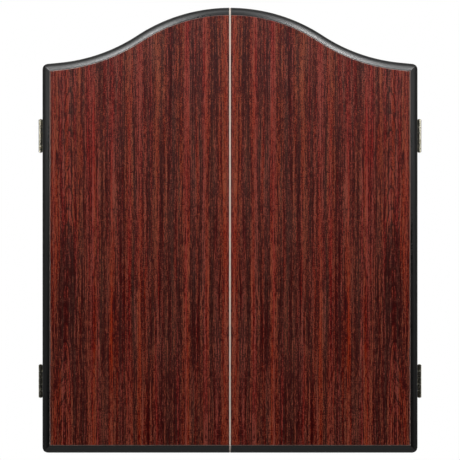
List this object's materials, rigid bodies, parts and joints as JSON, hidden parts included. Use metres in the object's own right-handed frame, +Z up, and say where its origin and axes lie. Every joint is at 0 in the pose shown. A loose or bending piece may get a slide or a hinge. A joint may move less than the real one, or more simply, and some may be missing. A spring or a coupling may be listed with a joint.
{
  "type": "dart board cabinet",
  "caption": "Wall-hung dart board cabinet with an arched top and a pair of hinged rosewood doors in black edge mouldings, with scoreboards, dart racks and a board bracket inside.",
  "frame": {"origin": "middle of the four wall screws on the rear face, straight behind the bull's-eye of the board", "axes": "+X to the right seen from the front, +Y into the wall, +Z up; the doors face -Y"},
  "size_m": [0.5218, 0.0828, 0.605],
  "materials": {
    "black_board": "fibreboard with a satin black foil",
    "raw_board": "raw fibreboard",
    "dowel_wood": "plain beech",
    "screw_steel": "zinc-plated",
    "plated_steel": "zinc-plated",
    "catch_plastic": "moulded",
    "ferrite": "sintered ferrite",
    "hinge_brass": "brass-plated, toned dark in the joints",
    "rosewood": "satin rosewood laminate",
    "black_moulding": "satin black lacquer",
    "pale_band": "bare pale edging",
    "chalkboard": "chalkboard paint with pale ruled lines",
    "rack_plastic": "moulded, fine texture"
  },
  "bodies": {
    "cabinet": {"left_side_panel": "black_board", "right_side_panel": "black_board", "bottom_panel": "black_board", "arched_top_panel": "black_board", "back_panel": "raw_board", "carcass_dowels": "dowel_wood", "back_screws": "screw_steel", "bracket_screws": "screw_steel", "catch_screws": "screw_steel", "board_bracket": "plated_steel", "catch_pole_plates": "plated_steel", "catch_housing": "catch_plastic", "catch_magnets": "ferrite", "cabinet_hinge_screws": "hinge_brass", "left_upper_cabinet_leaf": "hinge_brass", "left_upper_hinge_pin": "hinge_brass", "left_lower_cabinet_leaf": "hinge_brass", "left_lower_hinge_pin": "hinge_brass", "right_upper_cabinet_leaf": "hinge_brass", "right_upper_hinge_pin": "hinge_brass", "right_lower_cabinet_leaf": "hinge_brass", "right_lower_hinge_pin": "hinge_brass"},
    "left_door": {"left_door_core": "raw_board", "left_door_laminate": "rosewood", "left_top_moulding": "black_moulding", "left_side_moulding": "black_moulding", "left_bottom_moulding": "black_moulding", "left_meeting_edge_band": "pale_band", "left_scoreboard": "chalkboard", "left_dart_rack": "rack_plastic", "left_scoreboard_screws": "screw_steel", "left_rack_screws": "screw_steel", "left_strike_screw": "screw_steel", "left_strike_plate": "plated_steel", "left_upper_door_leaf": "hinge_brass", "left_lower_door_leaf": "hinge_brass", "left_door_hinge_screws": "hinge_brass"},
    "right_door": {"right_door_core": "raw_board", "right_door_laminate": "rosewood", "right_top_moulding": "black_moulding", "right_side_moulding": "black_moulding", "right_bottom_moulding": "black_moulding", "right_meeting_edge_band": "pale_band", "right_scoreboard": "chalkboard", "right_dart_rack": "rack_plastic", "right_scoreboard_screws": "screw_steel", "right_rack_screws": "screw_steel", "right_strike_screw": "screw_steel", "right_strike_plate": "plated_steel", "right_upper_door_leaf": "hinge_brass", "right_lower_door_leaf": "hinge_brass", "right_door_hinge_screws": "hinge_brass"}
  },
  "joints": [
    {"name": "left_door_hinge", "type": "hinge", "parent": "cabinet", "child": "left_door", "pos_m": [-0.2581, -0.0654, 0], "axis": [0, 0, -1], "range_deg": [0, 180]},
    {"name": "right_door_hinge", "type": "hinge", "parent": "cabinet", "child": "right_door", "pos_m": [0.2581, -0.0654, 0], "axis": [0, 0, 1], "range_deg": [0, 180]}
  ]
}
